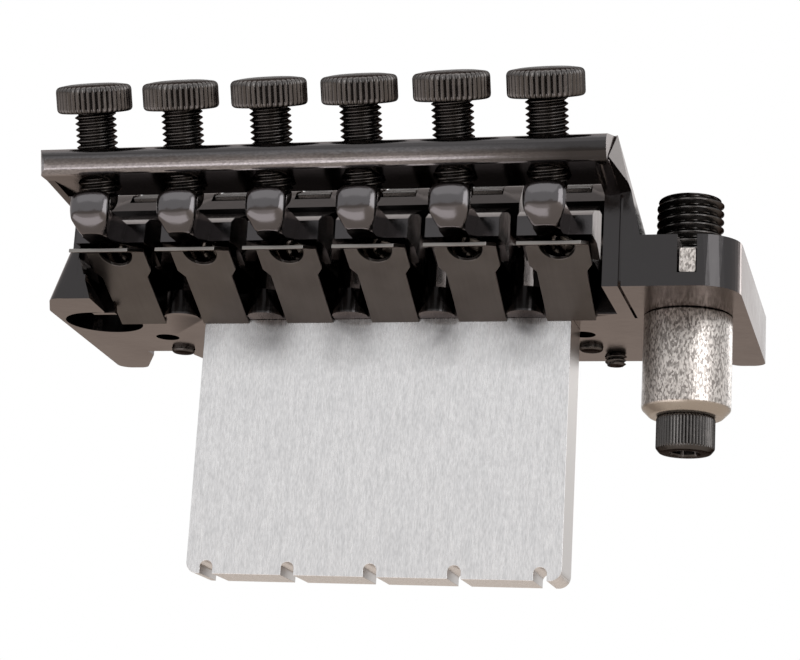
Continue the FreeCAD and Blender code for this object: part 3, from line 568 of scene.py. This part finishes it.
tuner = {"deckY": -37.64, "deckZ": 13.46, "tip": -8.524, "tipRadius": 1.99, "taper": 3.2, "radius": 2.42,
         "pitch": 0.7, "depth": 0.42, "lift": 3.65, "headRadius": 4.42, "headHeight": 3.1, "flutes": 40,
         "fluteDepth": 0.26, "edge": 0.6, "crown": 0.3, "rows": 16, "stemColumns": 96, "headColumns": 280,
         "tipRows": 7, "tipGap": 0.05, "intoHead": 0.3, "rimDrop": 0.05, "shoulder": 0.62, "shoulderRise": 0.72,
         "cornerSteps": 8, "sideDrop": 0.1, "fluteInset": 0.6, "fluteFade": 0.5, "fluteEase": 0.8, "fluteNarrow": 1.8,
         "stemTurn": 0.17, "headTurn": 0.9}


def tunerStem(turn):
    # round tip, then a thread on a short taper and on the straight stem, closed inside the head
    t = tuner
    swing = np.linspace(-np.pi / 2, 0, t["tipRows"])
    tip = np.stack([t["tipRadius"] * np.cos(swing), t["tip"] + t["tipRadius"] * (1 + np.sin(swing))], -1)
    tip[0, 0] = 0.0
    low, high = tip[-1, 1] + t["tipGap"], t["lift"] + t["intoHead"]
    count = int((high - low) / t["pitch"] * t["rows"])
    climb = np.linspace(low, high, count)
    swell = np.clip((climb - low) / (t["tip"] + t["taper"] - low), 0, 1)
    stem = np.stack([t["tipRadius"] + (t["radius"] - t["tipRadius"]) * swell, climb], -1)
    profile = np.concatenate([tip, stem, [(0.0, high)]])
    threaded = np.zeros(len(profile))
    threaded[len(tip):-1] = np.clip(np.arange(count) / thread["runIn"], 0, 1)

    def shape(radius, height, angle):
        return radius + threaded[:, None] * screwWave(height, angle, t["pitch"], t["depth"], turn)

    return around(profile, t["stemColumns"], shape)


def tunerHead(turn):
    # knob with soft corners and a low crown; the flutes are raised cosines, deepest on the rim
    t = tuner
    top, edge, soft = t["lift"] + t["headHeight"], t["headRadius"], t["edge"]
    shoulder = (edge * t["shoulder"], top + t["crown"] * t["shoulderRise"])
    corners = [(0.0, t["lift"]), (edge, t["lift"]), (edge, top - t["rimDrop"]), shoulder, (0.0, top + t["crown"])]
    profile = softCorners(corners, soft, t["cornerSteps"])
    rim = softCorners([(0.0, t["lift"]), (edge - soft * 2, t["lift"])], soft)
    side = np.linspace(t["lift"] + soft, top - soft - t["sideDrop"], 5)[1:-1]
    upper = profile[:, 1] > t["lift"] + t["headHeight"] / 2
    profile = np.concatenate([rim, profile[~upper][1:], np.stack([np.full(len(side), edge), side], -1),
                              profile[upper]])
    fluted = np.clip((profile[:, 0] - (edge - t["fluteInset"])) / t["fluteFade"], 0, 1) ** t["fluteEase"]

    def shape(radius, height, angle):
        wave = (0.5 + 0.5 * np.cos(t["flutes"] * angle + turn)) ** t["fluteNarrow"]
        return radius - fluted[:, None] * t["fluteDepth"] * wave

    return around(profile, t["headColumns"], shape)


for number in strings:
    spot = (stringX[number], tuner["deckY"], tuner["deckZ"])
    sheets = [leaned(tunerStem(tuner["stemTurn"] * number), spot, tilt),
              leaned(tunerHead(tuner["headTurn"] * number), spot, tilt)]
    mesh = gridMesh("thumbScrew.%d" % number, sheets, meshing["tunerSharp"])
    newPiece("thumbScrew.%d" % number, mesh, "tuner_%d" % number, ["fine_tuner_%d" % number],
             satinBlack)
print("tuners turned")


lock = {"clampY": -16.0, "clampZ": 7.9, "half": 1.8, "length": 7.6, "radius": 1.98, "pitch": 0.7, "depth": 0.36,
        "flat": 2.0, "socket": 2.2, "rows": 10, "columns": 96,
        "chamfer": 0.35, "rim": 0.42, "rimDrop": 0.02, "mouth": 0.62, "lip": 0.18, "point": 0.4, "short": 0.02,
        "turn": 0.5, "turnStep": 0.83}


def lockPoints(turn):
    # outside thread from the far end to the face, then the hexagon hole and its floor; heights run from the face in
    k = lock
    length, radius, chamfer = k["length"] - k["short"], k["radius"], k["chamfer"]
    count = int((length - 2 * chamfer) / k["pitch"] * k["rows"])
    stem = np.stack([np.full(count, radius), np.linspace(length - chamfer, chamfer, count)], -1)
    rimOut = np.array([(radius - chamfer, k["rimDrop"]), (radius - k["rim"], 0.0)])
    start = np.array([(0.0, length), (radius - chamfer, length)])
    mouth = hexHole(k["flat"], k["mouth"], 0.0, k["lip"], k["socket"], k["point"])
    profile = np.concatenate([start, stem, rimOut, mouth])
    threaded = np.zeros((len(profile), 1))
    threaded[len(start):len(start) + count] = 1.0
    hexed = hexedRows(profile)

    def shape(radiusNow, height, angle):
        radiusNow = radiusNow + threaded * screwWave(height, angle, k["pitch"], k["depth"])
        return radiusNow * (1 - hexed) + hexed * hexWall(angle, k["flat"], turn)

    return around(profile, k["columns"], shape)


for number in strings:
    reach = lock["half"] + lock["length"]
    spot = (stringX[number], lock["clampY"] - reach * math.cos(tilt), lock["clampZ"] - reach * math.sin(tilt))
    points = leaned(lockPoints(lock["turn"] + lock["turnStep"] * number), spot, tilt - math.pi / 2)
    mesh = gridMesh("lockScrew.%d" % number, [points])
    newPiece("lockScrew.%d" % number, mesh, "clamp_%d" % number, ["lock_screw_%d" % number], litLockBlack)
print("lock screws cut")


arm = {"x": 36.7, "y": -17.0, "top": 11.3, "bottom": -11.05, "radius": 3.96, "bore": 3.05, "pitch": 1.0,
       "depth": 0.5, "lug": 3.1, "bushRadius": 5.2, "bushTop": -3.02, "bushBottom": -15.07, "spigot": 4.8,
       "spigotTop": 2.9, "capRadius": 3.43, "capHeight": 4.2, "capShank": 1.93, "capLength": 3.9, "capFlat": 3.0,
       "capSocket": 2.2, "knurls": 52, "knurlDepth": 0.14}
collar = {"rows": 14, "columns": 120, "threadTop": 0.12, "threadLow": 0.05, "lip": 0.35, "lipDrop": 0.03, "face": 0.5,
          "mouth": 0.15, "fade": 0.5, "fadeDepth": 0.3, "turn": 0.3}
bush = {"boreGap": 0.05, "floor": 4.0, "chamfer": 0.95, "collarGap": 0.03, "soft": 0.22, "softSteps": 5,
        "columns": 128}
cap = {"gap": 0.02, "topInset": 0.15, "topDrop": 0.2, "chamfer": 0.55, "faceInset": 0.45, "face": 0.66, "mouth": 0.6,
       "lip": 0.2, "point": 0.5, "soft": 0.15, "softSteps": 4, "knurlInset": 0.12, "knurlFade": 0.1, "knurlFrom": 0.5,
       "knurlNarrow": 1.5, "turn": 0.2, "columns": 312}
armKey = {"x": 38.1, "z": 0.125, "halfWidth": 0.99, "halfHeight": 1.47, "rear": -30.39, "front": -21.01,
          "columns": 48, "squareness": 0.16, "edge": 0.12, "edgeWidth": 0.92}


def armSpot(points):
    return (points + np.array([arm["x"], arm["y"], 0.0])) * mm


def collarPoints():
    # threaded above the lug, plain below it, with a bore all the way; the thread fades out under the top lip
    a, c = arm, collar
    radius, bore, top, bottom = a["radius"], a["bore"], a["top"], a["bottom"]
    count = int((top - a["lug"]) / a["pitch"] * c["rows"])
    climb = np.stack([np.full(count, radius), np.linspace(a["lug"], top - c["threadTop"], count)], -1)
    start = np.array([(bore, bottom), (radius, bottom), (radius, a["lug"] - c["threadLow"])])
    finish = np.array([(radius - c["lip"], top - c["lipDrop"]), (radius - c["face"], top), (bore + c["mouth"], top),
                       (bore, top - c["mouth"]), (bore, bottom)])
    profile = np.concatenate([start, climb, finish])
    threaded = np.zeros((len(profile), 1))
    threaded[len(start):len(start) + count, 0] = np.clip(np.arange(count) / thread["runIn"], 0, 1)
    closing = np.clip((top - profile[:, 1:2]) / c["fade"], 0, 1)

    def shape(radiusNow, height, angle):
        cut = threaded * screwWave(height, angle, a["pitch"], a["depth"], c["turn"])
        return radiusNow + np.minimum(cut, -c["fadeDepth"] * threaded * (1 - closing))

    return around(profile, c["columns"], shape)


def bushPoints():
    # cup round the collar's lower end, with a spigot up into the lug and a hole for the cap screw
    a, c = arm, bush
    hole, cup, bottom = a["capShank"] + c["boreGap"], a["radius"] + c["collarGap"], a["bushBottom"]
    floor = bottom + c["floor"]
    corners = [(hole, floor), (hole, bottom), (a["bushRadius"] - c["chamfer"], bottom),
               (a["bushRadius"], bottom + c["chamfer"]), (a["bushRadius"], a["bushTop"]), (a["spigot"], a["bushTop"]),
               (a["spigot"], a["spigotTop"]), (cup, a["spigotTop"]), (cup, floor), (hole, floor)]
    return around(softCorners(corners, c["soft"], c["softSteps"]), c["columns"])


def keyPoints():
    # flat key on the bush's spigot: a rounded box section carried along Y, drawn together at both ends
    k = armKey
    turn = np.linspace(0, 2 * np.pi, k["columns"], endpoint=False)
    bulge = lambda wave: np.sign(wave) * np.abs(wave) ** k["squareness"]
    section = np.stack([bulge(np.cos(turn)) * k["halfWidth"], bulge(np.sin(turn)) * k["halfHeight"]], -1)
    along = np.array([k["rear"], k["rear"], k["rear"] + k["edge"], k["front"] - k["edge"], k["front"], k["front"]])
    width = np.array([0.0, k["edgeWidth"], 1.0, 1.0, k["edgeWidth"], 0.0])
    points = np.zeros((len(along), len(turn), 3))
    points[:, :, 0] = k["x"] + width[:, None] * section[None, :, 0]
    points[:, :, 1] = along[:, None]
    points[:, :, 2] = k["z"] + width[:, None] * section[None, :, 1]
    return points * mm


def capPoints():
    # shank, knurled head and hexagon hole, from the top down
    a, c = arm, cap
    top = a["bushBottom"] - c["gap"]
    low, edge, flat, shank = top - a["capHeight"], a["capRadius"], a["capFlat"], a["capShank"]
    outside = softCorners([(0.0, top + a["capLength"]), (shank, top + a["capLength"]), (shank, top),
                           (edge - c["topInset"], top), (edge, top - c["topDrop"]), (edge, low + c["chamfer"]),
                           (edge - c["faceInset"], low), (flat * c["face"], low)], c["soft"], c["softSteps"])
    profile = np.concatenate([outside, hexHole(flat, c["mouth"], low, c["lip"], a["capSocket"], c["point"])])
    hexed = hexedRows(profile)
    rim = np.clip((profile[:, 0:1] - edge + c["knurlInset"]) / c["knurlFade"], 0, 1)
    knurled = rim * (profile[:, 1:2] > low + c["knurlFrom"])

    def shape(radius, height, angle):
        wave = (0.5 + 0.5 * np.cos(a["knurls"] * angle)) ** c["knurlNarrow"]
        radius = radius - knurled * a["knurlDepth"] * wave
        return radius * (1 - hexed) + hexed * hexWall(angle, flat, c["turn"])

    return around(profile, c["columns"], shape)


newPiece("armCollar", gridMesh("armCollar", [armSpot(collarPoints())]), "bridge", ["arm_collar"],
         paleBlack)
newPiece("armBush", gridMesh("armBush", [armSpot(bushPoints()), keyPoints()]), "bridge", ["arm_bush"],
         nickelGrain)
newPiece("armCapScrew", gridMesh("armCapScrew", [armSpot(capPoints())]), "bridge", ["arm_cap_screw"],
         paleBlack)
print("arm socket made")


small = {"restX": 25.3, "restY": 1.9, "restLow": -4.2, "restLength": 4.1, "restRadius": 1.33, "restPitch": 0.5,
         "saddleY": -3.4, "saddleLow": -3.6, "saddleTop": 4.85, "saddleNeck": 2.65, "saddleRadius": 1.48,
         "headRadius": 2.3, "headFlat": 2.5, "sinkX": 15.0, "sinkY": -14.2, "sinkTop": 0.0, "sinkHead": 3.0,
         "sinkStem": 1.78, "sinkLow": -11.88, "sinkDrop": 1.9, "restRows": 10, "restDepth": 0.27, "restChamfer": 0.3,
         "restStart": 0.25, "restColumns": 64, "columns": 96, "tipChamfer": 0.2, "headChamfer": 0.3, "saddleFace": 0.66,
         "sinkFace": 0.7, "mouth": 0.6, "lip": 0.15, "point": 0.3, "saddleSocket": 1.5, "sinkSocket": 1.3,
         "saddleSoft": 0.12, "sinkSoft": 0.1, "softSteps": 4, "saddleTurn": 0.7, "sinkTurn": 0.4}


def restPoints(side):
    s = small
    low, high, radius = s["restLow"], s["restLow"] + s["restLength"], s["restRadius"]
    count = int(s["restLength"] / s["restPitch"] * s["restRows"])
    stem = np.stack([np.full(count, radius), np.linspace(low + s["restStart"], high, count)], -1)
    start = np.array([(0.0, low), (radius - s["restChamfer"], low)])
    profile = np.concatenate([start, stem, [(0.0, high)]])
    threaded = np.zeros((len(profile), 1))
    threaded[len(start):len(start) + count] = 1.0

    def shape(radiusNow, height, angle):
        return radiusNow + threaded * screwWave(height, angle, s["restPitch"], s["restDepth"])

    return (around(profile, s["restColumns"], shape) + np.array([side * s["restX"], s["restY"], 0.0])) * mm


def headedPoints(outside, top, socket, turn, x, y):
    # a screw's outside from its tip to its face, then the hexagon hole down from the face
    s = small
    profile = np.concatenate([outside, hexHole(s["headFlat"], s["mouth"], top, -s["lip"], -socket, -s["point"])])
    hexed = hexedRows(profile)

    def shape(radius, height, angle):
        return radius * (1 - hexed) + hexed * hexWall(angle, s["headFlat"], turn)

    return (around(profile, s["columns"], shape) + np.array([x, y, 0.0])) * mm


def saddleScrewPoints(number):
    s = small
    low, neck, top, stem, head = s["saddleLow"], s["saddleNeck"], s["saddleTop"], s["saddleRadius"], s["headRadius"]
    tip, bevel = s["tipChamfer"], s["headChamfer"]
    outside = softCorners([(0.0, low), (stem - tip, low), (stem, low + tip), (stem, neck), (head, neck),
                           (head, top - bevel), (head - bevel, top), (s["headFlat"] * s["saddleFace"], top)],
                          s["saddleSoft"], s["softSteps"])
    return headedPoints(outside, top, s["saddleSocket"], s["saddleTurn"] * number, stringX[number], s["saddleY"])


def sinkScrewPoints(step):
    s = small
    low, top, stem = s["sinkLow"], s["sinkTop"], s["sinkStem"]
    outside = softCorners([(0.0, low), (stem, low), (stem, top - s["sinkDrop"]), (s["sinkHead"], top),
                           (s["headFlat"] * s["sinkFace"], top)], s["sinkSoft"], s["softSteps"])
    return headedPoints(outside, top, s["sinkSocket"], s["sinkTurn"] * step, step * s["sinkX"], s["sinkY"])


newPiece("restScrews", gridMesh("restScrews", [restPoints(-1), restPoints(1)]), "bridge", ["rest_screws"],
         satinBlack)
newPiece("saddleScrews", gridMesh("saddleScrews", [saddleScrewPoints(number) for number in strings]), "bridge",
         ["intonation_screws"], satinBlack)
newPiece("blockScrews", gridMesh("blockScrews", [sinkScrewPoints(step) for step in (-1, 0, 1)]), "bridge",
         ["block_screws"], satinBlack)
print("small screws made")


stageLook = {"floorZ": -0.17, "floorReach": 3.0, "floor": (0.80, 0.70, 0.62, 1), "fill": 0.6,
             "fillTint": (1.0, 1.0, 1.0, 1), "floorRough": 0.75, "floorCuts": 25}
lamps = [("overhead", (0.0, -0.1, 0.75), (0, 0), (0.8, 0.6), 1.3, (1, 1, 1)),
         ("lowFront", (-0.31, -0.19, -0.16), (180, 0), (0.66, 0.16), 1.3, (1.0, 0.97, 1.0)),
         ("lowRear", (-0.31, -0.44, -0.16), (180, 0), (0.66, 0.34), 0.4, (1.0, 0.97, 1.0)),
         ("aboveRear", (-0.16, -0.54, 0.57), (45, -17), (0.8, 0.6), 0.45, (1, 1, 1)),
         ("trebleBack", (0.44, 0.73, 0.36), (67, 149), (0.26, 0.4), 2.8, (1, 1, 1)),
         ("trebleFront", (0.6, -0.6, 0.16), (79, 45), (0.5, 0.6), 2.2, (1, 1, 1))]
# the eye is in millimetres, and focal and frameWidth are in pixels of the photograph's frame
view = {"eye": (66.91, -262.27, -68.32), "right": (0.9685, 0.2424, 0.0562), "up": (0.0067, -0.2511, 0.9679),
        "ahead": (-0.2488, 0.9371, 0.2448), "focal": 2156.0, "frameWidth": 800.0, "sensor": 36.0, "near": 0.01}


def makeFloor():
    # flat grid, clear from below so that a low view still shows the object
    reach, level = stageLook["floorReach"], stageLook["floorZ"]
    along = np.linspace(-reach, reach, stageLook["floorCuts"])
    x, y = np.meshgrid(along, along, indexing="ij")
    z = level + 0 * x
    count = len(along)
    index = np.arange(count * count).reshape(count, count)
    quads = np.stack([index[:-1, :-1], index[1:, :-1], index[1:, 1:], index[:-1, 1:]], -1).reshape(-1, 4)
    mesh = bpy.data.meshes.new("floor")
    mesh.from_pydata(np.stack([x, y, z], -1).reshape(-1, 3).tolist(), [], quads.tolist())
    floor = bpy.data.objects.new("floor", mesh)
    bpy.context.scene.collection.objects.link(floor)
    f = Finish("paleFloor", Roughness=stageLook["floorRough"], Specular_IOR_Level=0.0)
    f.shader.inputs["Base Color"].default_value = stageLook["floor"]
    below = f.add("ShaderNodeNewGeometry", out="Backfacing")
    seen = {0: below, 1: Wire(f.tree, f.shader.outputs[0]), 2: f.add("ShaderNodeBsdfTransparent")}
    mix = f.add("ShaderNodeMixShader", None, seen)
    f.tree.links.new(mix.socket, f.tree.nodes["Material Output"].inputs["Surface"])
    mesh.materials.append(f.material)


def softbox(name, spot, turn, size, glow, tint):
    # turn is the panel's pitch and heading, 0 and 0 facing straight down; glow is its brightness beside white at 1
    lamp = bpy.data.lights.new(name, "AREA")
    lamp.shape = "RECTANGLE"
    lamp.size, lamp.size_y = size
    lamp.energy = glow * 4 * size[0] * size[1]
    lamp.color = tint
    holder = bpy.data.objects.new(name, lamp)
    holder.location = spot
    holder.rotation_euler = (math.radians(turn[0]), 0, math.radians(turn[1]))
    holder.visible_camera = False
    bpy.context.scene.collection.objects.link(holder)


def makeWorld():
    # white wherever the camera, a reflection or a clear piece looks, and a softer fill for everything else
    world = bpy.data.worlds.new("studio")
    bpy.context.scene.world = world
    world.use_nodes = True
    tree = world.node_tree
    back = tree.nodes["Background"]
    path = tree.nodes.new("ShaderNodeLightPath")
    white = tree.nodes.new("ShaderNodeBackground")
    white.inputs["Color"].default_value = (1, 1, 1, 1)
    back.inputs["Color"].default_value = stageLook["fillTint"]
    back.inputs["Strength"].default_value = stageLook["fill"]
    mix = tree.nodes.new("ShaderNodeMixShader")
    sees = [Wire(tree, path.outputs[kind]) for kind in ("Is Camera Ray", "Is Glossy Ray", "Is Transmission Ray")]
    tree.links.new((sees[0] + sees[1] + sees[2]).socket, mix.inputs[0])
    tree.links.new(back.outputs[0], mix.inputs[1])
    tree.links.new(white.outputs[0], mix.inputs[2])
    tree.links.new(mix.outputs[0], tree.nodes["World Output"].inputs["Surface"])


makeFloor()
makeWorld()
for lamp in lamps:
    softbox(*lamp)

cam = bpy.data.cameras.new("photoView")
cam.sensor_width = view["sensor"]
cam.lens = view["focal"] / view["frameWidth"] * view["sensor"]
cam.clip_start = view["near"]
eye = bpy.data.objects.new("photoView", cam)
eye.matrix_world = Matrix([(view["right"][i], view["up"][i], -view["ahead"][i], view["eye"][i] * mm)
                           for i in range(3)] + [(0, 0, 0, 1)])
bpy.context.scene.collection.objects.link(eye)
bpy.context.scene.camera = eye
bpy.context.scene.view_settings.view_transform = "Standard"
print("stage set")
